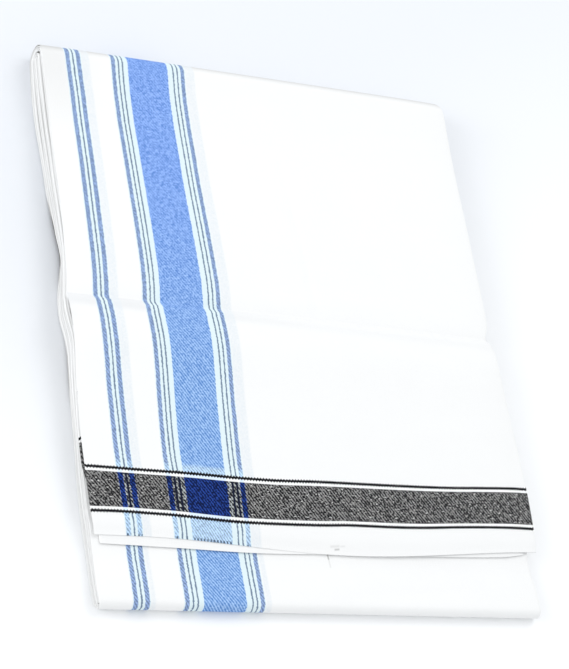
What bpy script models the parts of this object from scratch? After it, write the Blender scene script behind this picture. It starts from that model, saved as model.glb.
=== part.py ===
"""Folded dhoti: one long bordered cotton cloth, folded in four across its width, then folded
over and over along its length into a flat pack that lies on a surface.

X runs across the pack, Y from the near fold to the far fold, Z up from the surface.
The cloth winds like a flat roll.  From its cut end the outermost stretch runs up the top of
the pack, round the far fold, back along the underside, round the near fold and up under its
own end.  The stretches inside share one solid whose sides are grooved into layers.
"""
import math
from collections import namedtuple

import bmesh
import bpy

# Driving dimensions, metres
CLOTH_WIDTH = 1.27                        # between the two selvedges
PLIES_ACROSS = 4
PACK_WIDTH = CLOTH_WIDTH / PLIES_ACROSS
PACK_LENGTH = 0.398
OUTER_WALL = 0.0012
INNER_WALL = 0.0010
GAP = 0.0004

FAR_FOLD_HEIGHT = 0.0200
NEAR_FOLD_HEIGHT = 0.0096
TUCK = 0.025                              # how far each folded stretch runs on underneath

# The cut end of the top stretch bows towards the near fold a little right of the middle
CUT_END_Y = -0.1613
CUT_END_BOW = 0.0075
CUT_END_BOW_REACH = 0.160
CUT_END_BOW_CENTRE = 0.022
BOW_RUN_OUT = 0.060                       # beyond this the threads lie straight again

# The crease pressed across the whole pack
CREASE_Y = 0.0016
CREASE_DEPTH = 0.0024
CREASE_REACH = 0.0080

# Where the plies under the top stretch start and stop
SECOND_PLY_CUT_Y = -0.1594
SECOND_PLY_LEFT_INSET = 0.0034
SECOND_PLY_RIGHT_INSET = 0.0130
SECOND_PLY_STOP_Y = -0.0620
OTHER_END_CUT_Y = -0.1400
OTHER_END_STOP_Y = -0.0700
OTHER_END_OVERHANG = 0.0012
NEAR_STRETCH_STOP_Y = -0.0750
STEP_RUN = 0.0090                         # the plies step down over this length

# Rounding of the pack's long edges, as a share of its height
LEFT_FALL = 0.03
RIGHT_FALL = 0.07
FALL_REACH = 0.012

# Layers showing on the pack's long sides
SIDE_LAYERS = 3
LAYER_INSET = 0.0012
GROOVE_INSET = 0.0032
SLIT_SHARE = 0.06                         # the innermost loop closes as a narrow slit

# Mesh spacing
STATION_SPACING = 0.011
STATION_MERGE = 0.0020
CREASE_STATIONS = (0.0025, 0.0060, 0.0110)
FAR_FOLD_STEPS = 10
NEAR_FOLD_STEPS = 8
TUCK_STEPS = 2
COLUMNS = (0.0, 0.018, 0.05, 0.16, 0.33, 0.5, 0.67, 0.84, 0.95, 0.982, 1.0)

# Top of the pack along its length, and how far its long edges stray from the true rectangle
TopRow = namedtuple("TopRow", "y height left right")
TOP_ROWS = (
    TopRow(-0.1700, 0.0104, 0.0008, 0.0052),
    TopRow(-0.1540, 0.0119, 0.0003, 0.0051),
    TopRow(-0.1350, 0.0138, -0.0010, 0.0048),
    TopRow(-0.1100, 0.0153, -0.0018, 0.0046),
    TopRow(-0.0800, 0.0174, -0.0026, 0.0028),
    TopRow(-0.0530, 0.0197, -0.0023, 0.0006),
    TopRow(-0.0250, 0.0224, -0.0019, -0.0017),
    TopRow(-0.0080, 0.0220, -0.0027, -0.0026),
    TopRow(0.0010, 0.0215, -0.0024, -0.0060),
    TopRow(0.0110, 0.0210, -0.0015, -0.0028),
    TopRow(0.0300, 0.0202, -0.0005, -0.0018),
    TopRow(0.0600, 0.0198, 0.0009, -0.0015),
    TopRow(0.1000, 0.0183, 0.0016, -0.0004),
    TopRow(0.1400, 0.0172, 0.0015, 0.0002),
    TopRow(0.1700, 0.0184, 0.0009, 0.0000),
    TopRow(0.1890, FAR_FOLD_HEIGHT, 0.0006, -0.0006),
    TopRow(0.1990, FAR_FOLD_HEIGHT, 0.0014, -0.0040),
)

# Underside of the pack: only its long edges stray
BaseRow = namedtuple("BaseRow", "y left right")
BASE_ROWS = (
    BaseRow(-0.1990, 0.0026, -0.0012),
    BaseRow(-0.1880, 0.0010, -0.0008),
    BaseRow(-0.1650, -0.0005, -0.0020),
    BaseRow(-0.1300, -0.0010, -0.0016),
    BaseRow(-0.0800, -0.0002, -0.0020),
    BaseRow(-0.0490, 0.0005, -0.0024),
    BaseRow(-0.0220, 0.0016, -0.0030),
    BaseRow(-0.0030, -0.0010, -0.0040),
    BaseRow(0.0110, -0.0003, -0.0030),
    BaseRow(0.0260, 0.0025, -0.0020),
    BaseRow(0.0395, 0.0045, -0.0016),
    BaseRow(0.0590, 0.0024, -0.0014),
    BaseRow(0.0810, 0.0009, -0.0010),
    BaseRow(0.1080, 0.0000, -0.0008),
    BaseRow(0.1460, -0.0014, -0.0006),
    BaseRow(0.1800, 0.0000, -0.0008),
    BaseRow(0.1990, 0.0014, -0.0040),
)

# The near stretch where it lies bare, between the near fold and the cut end
BareRow = namedtuple("BareRow", "y height left right")
BARE_ROWS = (
    BareRow(-0.1990, NEAR_FOLD_HEIGHT, 0.0030, -0.0012),
    BareRow(-0.1942, NEAR_FOLD_HEIGHT, 0.0017, -0.0007),
    BareRow(-0.1800, 0.0092, 0.0008, -0.0008),
    BareRow(-0.1680, 0.0083, 0.0002, -0.0020),
    BareRow(-0.1600, 0.0083, -0.0005, -0.0024),
)
UNDER_CUT_END_RUN = 0.030                 # edges of the buried plies meet the top's over this

HALF_WIDTH = PACK_WIDTH / 2
HALF_LENGTH = PACK_LENGTH / 2
FAR_RADIUS = FAR_FOLD_HEIGHT / 2
NEAR_RADIUS = NEAR_FOLD_HEIGHT / 2
FAR_FOLD_Y = HALF_LENGTH - FAR_RADIUS
NEAR_FOLD_Y = -HALF_LENGTH + NEAR_RADIUS

# Depths of the plies below the top of the pack
SECOND_PLY_DEPTH = OUTER_WALL + GAP
OTHER_END_DEPTH = SECOND_PLY_DEPTH + INNER_WALL + GAP
BURIED_DEPTH = OTHER_END_DEPTH + INNER_WALL + GAP
CORE_CLEARANCE = OUTER_WALL + GAP


def smooth_read(rows, column, y):
    """Read a column of a table at y, along a smooth curve through its rows."""
    values = [getattr(row, column) for row in rows]
    stations = [row.y for row in rows]
    if y <= stations[0]:
        return values[0]
    if y >= stations[-1]:
        return values[-1]
    i = next(k for k in range(len(stations) - 1) if y <= stations[k + 1])
    before, after = max(i - 1, 0), min(i + 2, len(stations) - 1)
    span = stations[i + 1] - stations[i]
    slope_in = (values[i + 1] - values[before]) / (stations[i + 1] - stations[before]) * span
    slope_out = (values[after] - values[i]) / (stations[after] - stations[i]) * span
    t = (y - stations[i]) / span
    return (values[i] * (2 * t ** 3 - 3 * t ** 2 + 1) + values[i + 1] * (3 * t ** 2 - 2 * t ** 3)
            + slope_in * (t ** 3 - 2 * t ** 2 + t) + slope_out * (t ** 3 - t ** 2))


def smooth_step(start, stop, y):
    """Rise from 0 at start to 1 at stop."""
    t = min(max((y - start) / (stop - start), 0.0), 1.0)
    return t * t * (3 - 2 * t)


def top_height(y):
    """Height of the top of the pack, with the crease pressed across it."""
    crease = CREASE_DEPTH * math.exp(-abs(y - CREASE_Y) / CREASE_REACH)
    return smooth_read(TOP_ROWS, "height", y) - crease


def near_stretch_height(y):
    """Height of the near stretch: bare up to the cut end, then buried under three plies."""
    if y <= BARE_ROWS[-1].y:
        return smooth_read(BARE_ROWS, "height", y)
    buried = smooth_step(OTHER_END_CUT_Y - STEP_RUN, OTHER_END_CUT_Y, y)
    return top_height(y) - OTHER_END_DEPTH - (BURIED_DEPTH - OTHER_END_DEPTH) * buried


def core_height(y):
    """Height of the hidden layers: under the near stretch, then up under each ply in turn."""
    if y <= NEAR_STRETCH_STOP_Y:
        return near_stretch_height(y) - CORE_CLEARANCE
    depth = BURIED_DEPTH + CORE_CLEARANCE
    for stop_y, rise in ((NEAR_STRETCH_STOP_Y, CORE_CLEARANCE),
                         (OTHER_END_STOP_Y, INNER_WALL + GAP),
                         (SECOND_PLY_STOP_Y, INNER_WALL + GAP)):
        depth -= rise * smooth_step(stop_y + GAP, stop_y + STEP_RUN / 2, y)
    return top_height(y) - depth


def top_edge(side, y):
    """Stray of the top stretch's long edge."""
    return smooth_read(TOP_ROWS, side, y)


def buried_edge(side, y):
    """Stray of the long edges of what lies under the top stretch."""
    bare = smooth_read(BARE_ROWS, side, y)
    buried = smooth_step(BARE_ROWS[-1].y, BARE_ROWS[-1].y + UNDER_CUT_END_RUN, y)
    return bare + (top_edge(side, y) - bare) * buried


def other_end_peep(y):
    """How far the other end's ply stands out past the top stretch on the left."""
    middle = (OTHER_END_CUT_Y + OTHER_END_STOP_Y) / 2
    half_run = (OTHER_END_STOP_Y - OTHER_END_CUT_Y) / 2
    return OTHER_END_OVERHANG * max(1 - ((y - middle) / half_run) ** 2, 0.0)


def place(share, y, z, upper_edge=buried_edge, insets=(0.0, 0.0)):
    """A point of the pack: share runs 0 to 1 from its left edge to its right edge.

    The long edges go from the underside's at z = 0 to upper_edge at the top of the pack.
    """
    lift = min(max(z / top_height(y), 0.0), 1.0)
    strays = []
    for side in ("left", "right"):
        base = smooth_read(BASE_ROWS, side, y)
        strays.append(base + (upper_edge(side, y) - base) * lift)
    left = -HALF_WIDTH + strays[0] + insets[0]
    right = HALF_WIDTH + strays[1] - insets[1]
    x = left + (right - left) * share
    from_left, from_right = max(HALF_WIDTH + x, 0.0), max(HALF_WIDTH - x, 0.0)
    fall = (LEFT_FALL * math.exp(-from_left / FALL_REACH)
            + RIGHT_FALL * math.exp(-from_right / FALL_REACH))
    return (x, y, z * (1 - fall))


def stations_between(start, stop):
    """Places along Y for a row of points, the same for every layer and closer at the crease."""
    count = round(PACK_LENGTH / STATION_SPACING)
    places = [-HALF_LENGTH + PACK_LENGTH * k / count for k in range(1, count)]
    places = [y for y in places if abs(y - CREASE_Y) > max(CREASE_STATIONS) + STATION_MERGE]
    places += [CREASE_Y] + [CREASE_Y + sign * step for sign in (-1, 1) for step in CREASE_STATIONS]
    inside = sorted(y for y in places if start + STATION_MERGE < y < stop - STATION_MERGE)
    return [start] + inside + [stop]


def arc(centre_y, centre_z, radius, start_degrees, turn_degrees, steps):
    """Points (y, z) after the first one along an arc."""
    angles = [math.radians(start_degrees + turn_degrees * k / steps) for k in range(1, steps + 1)]
    return [(centre_y + radius * math.cos(a), centre_z + radius * math.sin(a)) for a in angles]


def tuck_run(fold_y, direction):
    """Points (y, z) of the flat run underneath that starts at a fold."""
    return [(fold_y + direction * TUCK * k / TUCK_STEPS, 0.0) for k in range(1, TUCK_STEPS + 1)]


def add_to_pack(name, mesh_builder, collection, colour, roughness):
    """Make a named object from a bmesh, with its own material."""
    mesh = bpy.data.meshes.new(name)
    mesh_builder.to_mesh(mesh)
    mesh_builder.free()
    material = bpy.data.materials.new(name + "_cotton")
    material.use_nodes = True
    shader = material.node_tree.nodes["Principled BSDF"]
    shader.inputs["Base Color"].default_value = (*colour, 1.0)
    shader.inputs["Roughness"].default_value = roughness
    shader.inputs["Metallic"].default_value = 0.0
    mesh.materials.append(material)
    obj = bpy.data.objects.new(name, mesh)
    collection.objects.link(obj)
    return obj


def stretch(name, path, wall, collection, colour, upper_edge=buried_edge, shape=None):
    """One stretch of cloth: a sheet laid along path, a list of (y, z), with a wall inwards.

    shape(share, index, y, z) gives the point's own y, z and how far the two edges draw in.
    """
    sheet = bmesh.new()
    rows, columns = len(path) - 1, len(COLUMNS) - 1
    bmesh.ops.create_grid(sheet, x_segments=columns, y_segments=rows, size=0.5)
    for vert in sheet.verts:
        share = COLUMNS[round((vert.co.x + 0.5) * columns)]
        index = round((vert.co.y + 0.5) * rows)
        y, z = path[index]
        insets = (0.0, 0.0)
        if shape:
            y, z, insets = shape(share, index, y, z)
        vert.co = place(share, y, z, upper_edge, insets)
    obj = add_to_pack(name, sheet, collection, colour, 0.9)
    solidify = obj.modifiers.new("wall", "SOLIDIFY")
    solidify.thickness = wall
    solidify.offset = -1.0
    solidify.use_even_offset = True
    return obj


def bowed(share, y):
    """Y of a crosswise thread: bowed at the cut end, and straight further up the pack."""
    x = (share - 0.5) * PACK_WIDTH
    turn = min(abs(x - CUT_END_BOW_CENTRE) / CUT_END_BOW_REACH, 1.0)
    bow = CUT_END_BOW * (1 - math.cos(math.pi * turn)) / 2
    run_out = max(1 - (y - CUT_END_Y) / BOW_RUN_OUT, 0.0)
    return y + bow * run_out ** 2


def top_stretch(collection):
    """From the cut end up the top of the pack, round the far fold and in underneath."""
    path = [(y, top_height(y)) for y in stations_between(CUT_END_Y, FAR_FOLD_Y)]
    path += arc(FAR_FOLD_Y, FAR_RADIUS, FAR_RADIUS, 90, -180, FAR_FOLD_STEPS)
    path += tuck_run(FAR_FOLD_Y, -1)
    top_points = len(path) - TUCK_STEPS - FAR_FOLD_STEPS

    def shape(share, index, y, z):
        if index < top_points:
            y = bowed(share, y)
            z = top_height(y)
        return y, z, (0.0, 0.0)

    stretch("top_stretch", path, OUTER_WALL, collection, (0.93, 0.93, 0.92), top_edge, shape)


def underside_stretch(collection):
    """The flat run that the pack lies on, between the two tucked folds."""
    start, stop = NEAR_FOLD_Y + TUCK + GAP, FAR_FOLD_Y - TUCK - GAP
    path = [(y, 0.0) for y in reversed(stations_between(start, stop))]
    stretch("underside_stretch", path, OUTER_WALL, collection, (0.92, 0.92, 0.91))


def near_stretch(collection):
    """Out from underneath, round the near fold and up under the cut end."""
    path = list(reversed(tuck_run(NEAR_FOLD_Y, 1))) + [(NEAR_FOLD_Y, 0.0)]
    path += arc(NEAR_FOLD_Y, NEAR_RADIUS, NEAR_RADIUS, -90, -180, NEAR_FOLD_STEPS)
    run = stations_between(NEAR_FOLD_Y, NEAR_STRETCH_STOP_Y)[1:]
    path += [(y, near_stretch_height(y)) for y in run]
    stretch("near_stretch", path, OUTER_WALL, collection, (0.93, 0.93, 0.92))


def second_ply(collection):
    """The plain ply folded under the top one; its edge shows below the cut end."""
    run = stations_between(SECOND_PLY_CUT_Y, SECOND_PLY_STOP_Y)
    path = [(y, top_height(y) - SECOND_PLY_DEPTH) for y in run]

    def shape(share, index, y, z):
        near_cut = smooth_step(SECOND_PLY_STOP_Y, SECOND_PLY_CUT_Y, y)
        return y, z, (SECOND_PLY_LEFT_INSET * near_cut, SECOND_PLY_RIGHT_INSET * near_cut ** 2)

    stretch("second_ply", path, INNER_WALL, collection, (0.94, 0.94, 0.93), top_edge, shape)


def other_end_ply(collection):
    """The cloth's other end, folded in just below; its long edge peeps out on the left."""
    run = stations_between(OTHER_END_CUT_Y, OTHER_END_STOP_Y)
    path = [(y, top_height(y) - OTHER_END_DEPTH) for y in run]

    def shape(share, index, y, z):
        return y, z, (-other_end_peep(y), LAYER_INSET)

    stretch("other_end_ply", path, INNER_WALL, collection, (0.90, 0.90, 0.90), top_edge, shape)


def layer_loops():
    """Loops of the hidden layers from the middle of one side to its rim: (share, inset).

    Each layer swells to LAYER_INSET and the grooves between them reach in to GROOVE_INSET.
    """
    loops = [(SLIT_SHARE, LAYER_INSET)]
    for layer in range(SIDE_LAYERS):
        inner, outer = layer / SIDE_LAYERS, (layer + 1) / SIDE_LAYERS
        swell = ((0.22, 1.25), (0.50, 1.0), (0.78, 1.25))
        loops += [(inner + (outer - inner) * t, LAYER_INSET * k) for t, k in swell if inner or t > 0.3]
        loops.append((outer, GROOVE_INSET))
    return loops


def hidden_layers(collection):
    """The stretches inside as one rounded solid, its two sides grooved into nested loops."""
    bottom = CORE_CLEARANCE
    top_run = stations_between(NEAR_FOLD_Y, FAR_FOLD_Y)
    for stop_y in (NEAR_STRETCH_STOP_Y, OTHER_END_STOP_Y, SECOND_PLY_STOP_Y):
        edges = (stop_y + GAP, stop_y + STEP_RUN / 2)
        top_run = [y for y in top_run if all(abs(y - edge) > STATION_MERGE for edge in edges)]
        top_run = sorted(top_run + list(edges))
    outline = [(y, core_height(y)) for y in top_run]
    outline += arc(FAR_FOLD_Y, FAR_RADIUS, FAR_RADIUS - bottom, 90, -180, FAR_FOLD_STEPS)
    outline += [(y, bottom) for y in reversed(top_run[:-1])]
    outline += arc(NEAR_FOLD_Y, NEAR_RADIUS, NEAR_RADIUS - bottom, -90, -180, NEAR_FOLD_STEPS)

    def middle_of(y):
        clipped = min(max(y, NEAR_FOLD_Y), FAR_FOLD_Y)
        return clipped, (core_height(clipped) + bottom) / 2

    rim = layer_loops()
    loops = [(size, 0.0, inset) for size, inset in rim]
    loops += [(1.0, share, GROOVE_INSET) for share in COLUMNS[1:-1]]
    loops += [(size, 1.0, inset) for size, inset in reversed(rim)]

    core = bmesh.new()
    around, across = len(outline) - 1, len(loops) - 1
    bmesh.ops.create_grid(core, x_segments=across, y_segments=around, size=0.5)
    for vert in core.verts:
        size, share, inset = loops[round((vert.co.x + 0.5) * across)]
        y, z = outline[round((vert.co.y + 0.5) * around)]
        middle_y, middle_z = middle_of(y)
        y, z = middle_y + (y - middle_y) * size, middle_z + (z - middle_z) * size
        vert.co = place(share, y, z, insets=(inset, inset))
    bmesh.ops.remove_doubles(core, verts=core.verts, dist=0.00001)
    rims = [edge for edge in core.edges if edge.is_boundary]
    bmesh.ops.holes_fill(core, edges=rims)
    bmesh.ops.recalc_face_normals(core, faces=core.faces)
    add_to_pack("hidden_layers", core, collection, (0.90, 0.90, 0.89), 0.95)


def centre_over_origin(collection):
    """Slide the pack along X until the origin lies under the middle of its widest reach."""
    verts = [vert for obj in collection.objects for vert in obj.data.vertices]
    middle = (min(vert.co.x for vert in verts) + max(vert.co.x for vert in verts)) / 2
    for vert in verts:
        vert.co.x -= middle


for old in list(bpy.data.objects):
    bpy.data.objects.remove(old)
pack = bpy.data.collections.new("folded_dhoti")
bpy.context.scene.collection.children.link(pack)
top_stretch(pack)
second_ply(pack)
other_end_ply(pack)
near_stretch(pack)
underside_stretch(pack)
hidden_layers(pack)
centre_over_origin(pack)
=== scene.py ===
import math
from collections import namedtuple

import bmesh
import bpy
from mathutils import Matrix, Vector, noise


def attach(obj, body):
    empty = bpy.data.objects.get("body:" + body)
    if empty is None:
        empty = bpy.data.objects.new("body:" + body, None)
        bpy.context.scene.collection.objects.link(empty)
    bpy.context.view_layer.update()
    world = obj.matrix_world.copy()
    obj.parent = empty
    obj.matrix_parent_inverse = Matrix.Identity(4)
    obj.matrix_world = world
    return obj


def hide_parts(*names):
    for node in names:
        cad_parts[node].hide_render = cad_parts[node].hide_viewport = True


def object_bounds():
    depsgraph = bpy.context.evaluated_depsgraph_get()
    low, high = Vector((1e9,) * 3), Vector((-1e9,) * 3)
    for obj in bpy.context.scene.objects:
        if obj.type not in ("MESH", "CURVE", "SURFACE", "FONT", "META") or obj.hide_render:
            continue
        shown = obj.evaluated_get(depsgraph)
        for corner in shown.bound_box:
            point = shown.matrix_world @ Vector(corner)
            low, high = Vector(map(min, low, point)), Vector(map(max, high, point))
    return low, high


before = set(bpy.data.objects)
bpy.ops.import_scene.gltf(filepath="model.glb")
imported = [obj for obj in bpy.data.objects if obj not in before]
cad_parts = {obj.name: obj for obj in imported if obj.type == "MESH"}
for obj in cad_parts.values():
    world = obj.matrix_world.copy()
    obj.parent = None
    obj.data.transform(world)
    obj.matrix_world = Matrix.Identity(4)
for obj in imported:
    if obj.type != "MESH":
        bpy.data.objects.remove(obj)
solid_low, solid_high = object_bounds()

# ----------------------------------------------------------------------
# Camera.  It looks down on the folded cloth from its near left, turned so that the cloth's
# length runs up the frame and its top leans to the right.
CAMERA_PLACE = Vector((-0.68753, -0.63742, 1.13524))
CAMERA_AIM = Vector((0.00303, 0.00096, 0.0))
CAMERA_ROLL = math.radians(44.885)
FOCAL_PIXELS = 2202.5
FRAME_HEIGHT_PIXELS = 669
SENSOR_HEIGHT_MM = 36.0
NEAREST_SEEN = 0.05
FARTHEST_SEEN = 50.0

camera_data = bpy.data.cameras.new("camera")
camera_data.sensor_width = SENSOR_HEIGHT_MM
camera_data.lens = FOCAL_PIXELS * SENSOR_HEIGHT_MM / FRAME_HEIGHT_PIXELS
camera_data.clip_start = NEAREST_SEEN
camera_data.clip_end = FARTHEST_SEEN
camera = bpy.data.objects.new("camera", camera_data)
bpy.context.scene.collection.objects.link(camera)
facing = (CAMERA_AIM - CAMERA_PLACE).to_track_quat("-Z", "Y").to_matrix().to_4x4()
camera.matrix_world = Matrix.Translation(CAMERA_PLACE) @ facing @ Matrix.Rotation(CAMERA_ROLL, 4, "Z")
bpy.context.scene.camera = camera

# ----------------------------------------------------------------------
# Floor and light.  A plain pale table, a broad soft light from the far right, a weaker one
# from the left and an even sky.
FLOOR_DROP = 0.0002  # keeps the table just clear of the cloth's underside
FLOOR_SIZE = 6.0
FLOOR_SEGMENTS = 4
FLOOR_COLOUR = (0.935, 0.94, 0.945)
FLOOR_FAR_SHADE_COLOUR = (0.78, 0.80, 0.835)
FLOOR_AWAY = (-0.4, 0.8, 0.0)  # painted shade: in this direction it turns darker, to its far colour,
FLOOR_GREYING = (-0.16, 0.18)  # between these two places
FLOOR_ROUGHNESS = 0.6
FLOOR_GRAIN = 900.0
FLOOR_GRAIN_STRENGTH = 0.05
FLOOR_GRAIN_DEPTH = 0.0001
SPECULAR_LEVEL = 0.1
MIX_LOW, MIX_HIGH, MIX_RESULT = 6, 7, 2  # a Mix node's sockets for colours
SKY_COLOUR = (0.96, 0.98, 1.0)
SKY_STRENGTH = 0.957
Lamp = namedtuple("Lamp", "name place size watts colour")
LAMPS = (
    Lamp("window", (1.5, 1.7, 2.6), 2.0, 24.0, (1.0, 0.995, 0.985)),
    Lamp("left_fill", (-2.3, 0.2, 0.9), 1.6, 20.0, (1.0, 1.0, 1.0)),
)


class Wire:
    """A socket in a material.  Arithmetic on it adds Math nodes."""

    def __init__(self, tree, socket=None):
        self.tree, self.socket = tree, socket

    def node(self, kind, settings, inputs, output=0):
        """Add a node: its settings first, then the values or links of its sockets."""
        added = self.tree.nodes.new(kind)
        for name, value in settings.items():
            setattr(added, name, value)
        for key, value in inputs.items():
            if isinstance(value, Wire):
                self.tree.links.new(value.socket, added.inputs[key])
            else:
                added.inputs[key].default_value = value
        return Wire(self.tree, added.outputs[output]) if added.outputs else None

    def math(self, operation, *values):
        return self.node("ShaderNodeMath", {"operation": operation}, dict(enumerate(values)))

    def __add__(self, other):
        return self.math("ADD", self, other)

    def __sub__(self, other):
        return self.math("SUBTRACT", self, other)

    def __rsub__(self, other):
        return self.math("SUBTRACT", other, self)

    def __mul__(self, other):
        return self.math("MULTIPLY", self, other)

    def __abs__(self):
        return self.math("ABSOLUTE", self)

    __radd__, __rmul__ = __add__, __mul__

    def sine(self, period):
        """A wave from -1 to 1, once for each period."""
        return self.math("SINE", self * (2 * math.pi / period))

    def rise(self, start, stop):
        """0 below start, 1 above stop and a smooth step between them."""
        return self.node("ShaderNodeMapRange", {"interpolation_type": "SMOOTHSTEP"},
                         {"Value": self, "From Min": start, "From Max": stop})

    def strip(self, start, stop, soft):
        """1 between start and stop, with soft edges."""
        middle, width = (start + stop) / 2, stop - start
        return 1 - abs(self - middle).rise((width - soft) / 2, (width + soft) / 2)

    def blend(self, low, high):
        """Mix two colours, with this socket as the share of the second."""
        def colour(value):
            return value if isinstance(value, Wire) else (*value, 1.0)
        return self.node("ShaderNodeMix", {"data_type": "RGBA"},
                         {0: self, MIX_LOW: colour(low), MIX_HIGH: colour(high)}, output=MIX_RESULT)


def new_material(name):
    """An empty material, and a Wire that adds nodes to it."""
    material = bpy.data.materials.new(name)
    material.use_nodes = True
    material.node_tree.nodes.clear()
    return material, Wire(material.node_tree)


def finish_material(tree, colour, roughness, normal):
    """The shader of a matt surface."""
    shader = tree.node("ShaderNodeBsdfPrincipled", {}, {
        "Base Color": colour, "Roughness": roughness, "Specular IOR Level": SPECULAR_LEVEL,
        "Normal": normal})
    tree.node("ShaderNodeOutputMaterial", {}, {"Surface": shader})


def table_top():
    """Smooth pale laminate, with painted shade that turns it greyer further away."""
    material, tree = new_material("table_top")
    spot = tree.node("ShaderNodeTexCoord", {}, {}, output="Object")
    away = tree.node("ShaderNodeVectorMath", {"operation": "DOT_PRODUCT"},
                     {0: spot, 1: FLOOR_AWAY}, output="Value")
    colour = away.rise(*FLOOR_GREYING).blend(FLOOR_COLOUR, FLOOR_FAR_SHADE_COLOUR)
    grain = tree.node("ShaderNodeTexNoise", {}, {"Vector": spot, "Scale": FLOOR_GRAIN})
    normal = tree.node("ShaderNodeBump", {}, {
        "Strength": FLOOR_GRAIN_STRENGTH, "Distance": FLOOR_GRAIN_DEPTH, "Height": grain})
    finish_material(tree, colour, FLOOR_ROUGHNESS, normal)
    return material


def new_object(name, builder, material):
    """Turn a bmesh into a smoothly shaded object."""
    mesh = bpy.data.meshes.new(name)
    builder.to_mesh(mesh)
    builder.free()
    mesh.materials.append(material)
    mesh.shade_smooth()
    piece = bpy.data.objects.new(name, mesh)
    bpy.context.scene.collection.objects.link(piece)
    return piece


table = bmesh.new()
bmesh.ops.create_grid(table, x_segments=FLOOR_SEGMENTS, y_segments=FLOOR_SEGMENTS, size=FLOOR_SIZE / 2)
bmesh.ops.translate(table, verts=table.verts, vec=(0, 0, solid_low.z - FLOOR_DROP))
new_object("table", table, table_top())

for lamp in LAMPS:
    light_data = bpy.data.lights.new(lamp.name, "AREA")
    light_data.shape = "DISK"
    light_data.size = lamp.size
    light_data.energy = lamp.watts
    light_data.color = lamp.colour
    light = bpy.data.objects.new(lamp.name, light_data)
    light.location = lamp.place
    light.rotation_euler = (-Vector(lamp.place)).to_track_quat("-Z", "Y").to_euler()
    bpy.context.scene.collection.objects.link(light)

sky = bpy.data.worlds.new("sky")
sky.use_nodes = True
sky.node_tree.nodes["Background"].inputs["Color"].default_value = (*SKY_COLOUR, 1.0)
sky.node_tree.nodes["Background"].inputs["Strength"].default_value = SKY_STRENGTH
bpy.context.scene.world = sky
bpy.context.scene.view_settings.view_transform = "Standard"

# ----------------------------------------------------------------------
# Top cloth.  The outermost ply of a cotton cloth, folded in four across its width and wound
# flat along its length: from the cut end with its woven grey band up the top of the pack and
# round the far fold.  Its right edge turns under into the next ply.
CLOTH_WIDTH = 1.27  # between the two selvedges
PLIES_ACROSS = 4
PACK_WIDTH = CLOTH_WIDTH / PLIES_ACROSS
PACK_LENGTH = solid_high.y - solid_low.y
PACK_CENTRE_X = -0.00104  # the pack's middle, from the middle of its widest reach
CLOTH_WALL = 0.00028
CLOTH_CLEARANCE = 0.00008  # air between two lengths of cloth

FAR_FOLD_HEIGHT = 0.0200
NEAR_FOLD_HEIGHT = 0.0096
TUCK = 0.025  # how far each folded stretch runs on underneath

# The cut end bows towards the near fold a little right of the middle
CUT_END_Y = -0.1613
CUT_END_BOW = 0.0075
CUT_END_BOW_REACH = 0.160
CUT_END_BOW_CENTRE = 0.022
BOW_RUN_OUT = 0.060
CUT_END_PRESS = 0.30  # how much flatter the ply lies at its cut end
CUT_END_PRESS_RUN = 0.010
CUT_END_FLATTEST = 0.55  # and flattest of all about this share of the way across
CUT_END_FLAT_SHARE = 0.48
CUT_END_FLAT_REACH = 0.16

# The crease pressed across the pack: the far side dips to it, the near side rises from it
CREASE_LEFT_Y = 0.0073
CREASE_RIGHT_Y = -0.0005
CREASE_DROP = 0.0022
CREASE_FAR_REACH = 0.0080
CREASE_NEAR_RUN = 0.0050
CREASE_ZONE = (-0.0080, 0.0140)  # where the mesh is finer

# Steps in height below the top of the pack
CUT_END_STEP = 0.0030  # one length of cloth
TWO_LENGTHS_STEP = 0.0044
OTHER_END_CUT_Y = -0.1400
STEP_RUN = 0.0090
EVENING_RUN = 0.050  # the top two lengths grow equally thick over this
LENGTHS_IN_ROLL = 6  # lengths below the two ends
ALL_LENGTHS = 8

# A length of cloth in the pack, numbered from the underside: the levels of its outer and its
# inner face, each the count of lengths below it
Length = namedtuple("Length", "outer inner")
FIRST_LENGTH, TOP_LENGTH = Length(0, 1), Length(8, 7)

# Rounding of the pack's long edges, as a share of its height
LEFT_FALL = 0.03
RIGHT_FALL = 0.07
FALL_REACH = 0.012

# Top of the pack along its length, and how far its long edges stray from the true rectangle
TopRow = namedtuple("TopRow", "y height left right")
TOP_ROWS = [TopRow(*row) for row in (
    (-0.17, 0.0104, 0.0014, 0.0052), (-0.154, 0.0119, 0.001, 0.0051), (-0.135, 0.0138, -0.001, 0.0048),
    (-0.11, 0.0153, -0.0018, 0.0046), (-0.08, 0.0174, -0.0026, 0.0028),
    (-0.053, 0.0197, -0.0015, 0.0006), (-0.025, 0.0224, -0.0005, -0.0017),
    (-0.008, 0.022, -0.0018, -0.0026), (0.001, 0.0215, -0.002, -0.006),
    (0.011, 0.021, -0.0009, -0.0028), (0.03, 0.0202, 0.0007, -0.0018), (0.06, 0.0198, 0.0022, -0.0015),
    (0.1, 0.0183, 0.0026, -0.0004), (0.14, 0.0172, 0.0029, 0.0002), (0.17, 0.0184, 0.0024, 0.0),
    (0.189, FAR_FOLD_HEIGHT, 0.002, -0.0006), (0.199, FAR_FOLD_HEIGHT, 0.0026, -0.004),
)]

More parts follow.
